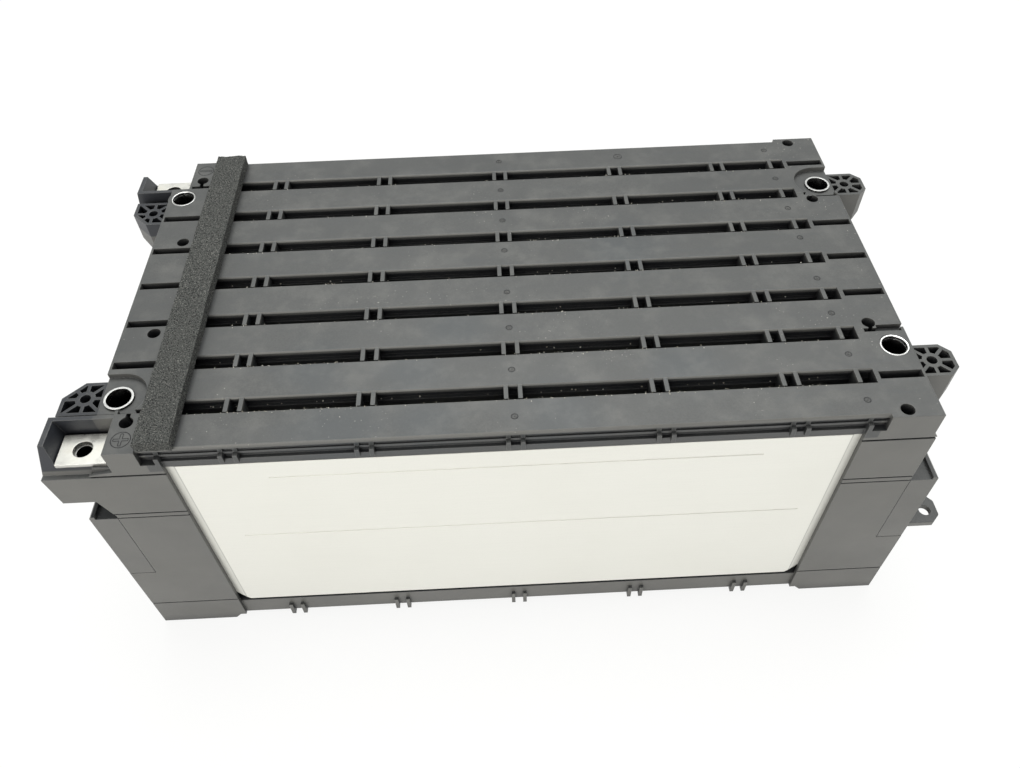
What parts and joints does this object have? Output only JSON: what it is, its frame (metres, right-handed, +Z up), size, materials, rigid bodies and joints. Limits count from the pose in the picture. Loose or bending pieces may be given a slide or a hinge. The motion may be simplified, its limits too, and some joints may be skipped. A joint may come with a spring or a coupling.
{
  "type": "electric vehicle battery module",
  "caption": "Air-cooled battery module of stacked moulded cartridges with pouch cells and cooling plates, bolted down through steel sleeves, with two terminals at one end.",
  "frame": {"origin": "under the middle of the whole box, at the height of the feet", "axes": "+X along the cartridges towards the plain end, +Y to the rear of the stack, +Z up"},
  "size_m": [0.4087, 0.2, 0.157],
  "materials": {
    "frame_plastic": "satin moulded, fine texture",
    "cooling_aluminium": "matte rolled sheet",
    "pouch_foil": "satin laminate foil",
    "sleeve_steel": "zinc plated",
    "plated_busbar": "tin plated",
    "circuit_board": "solder mask",
    "connector_plastic": "moulded",
    "foam": "open-cell foam"
  },
  "bodies": {
    "root": {"cartridge_1": "frame_plastic", "cartridge_2": "frame_plastic", "cartridge_3": "frame_plastic", "cartridge_4": "frame_plastic", "cartridge_5": "frame_plastic", "cartridge_6": "frame_plastic", "cartridge_7": "frame_plastic", "cartridge_8": "frame_plastic", "cell_1_front": "pouch_foil", "cell_1_rear": "pouch_foil", "cell_2_front": "pouch_foil", "cell_2_rear": "pouch_foil", "cell_3_front": "pouch_foil", "cell_3_rear": "pouch_foil", "cell_4_front": "pouch_foil", "cell_4_rear": "pouch_foil", "cell_5_front": "pouch_foil", "cell_5_rear": "pouch_foil", "cell_6_front": "pouch_foil", "cell_6_rear": "pouch_foil", "cell_7_front": "pouch_foil", "cell_7_rear": "pouch_foil", "cell_8_front": "pouch_foil", "cell_8_rear": "pouch_foil", "cooling_plate_1_front": "cooling_aluminium", "cooling_plate_1_rear": "cooling_aluminium", "cooling_plate_2_front": "cooling_aluminium", "cooling_plate_2_rear": "cooling_aluminium", "cooling_plate_3_front": "cooling_aluminium", "cooling_plate_3_rear": "cooling_aluminium", "cooling_plate_4_front": "cooling_aluminium", "cooling_plate_4_rear": "cooling_aluminium", "cooling_plate_5_front": "cooling_aluminium", "cooling_plate_5_rear": "cooling_aluminium", "cooling_plate_6_front": "cooling_aluminium", "cooling_plate_6_rear": "cooling_aluminium", "cooling_plate_7_front": "cooling_aluminium", "cooling_plate_7_rear": "cooling_aluminium", "cooling_plate_8_front": "cooling_aluminium", "cooling_plate_8_rear": "cooling_aluminium", "foam_strip": "foam", "left_busbar_carrier": "frame_plastic", "left_busbars": "plated_busbar", "left_end_cover": "frame_plastic", "left_front_sleeve": "sleeve_steel", "left_rear_sleeve": "sleeve_steel", "negative_terminal_bar": "plated_busbar", "positive_terminal_bar": "plated_busbar", "right_busbar_carrier": "frame_plastic", "right_busbars": "plated_busbar", "right_end_cover": "frame_plastic", "right_front_sleeve": "sleeve_steel", "right_rear_sleeve": "sleeve_steel", "sensing_board": "circuit_board", "sensing_connector": "connector_plastic", "terminal_nuts": "sleeve_steel"}
  },
  "joints": []
}
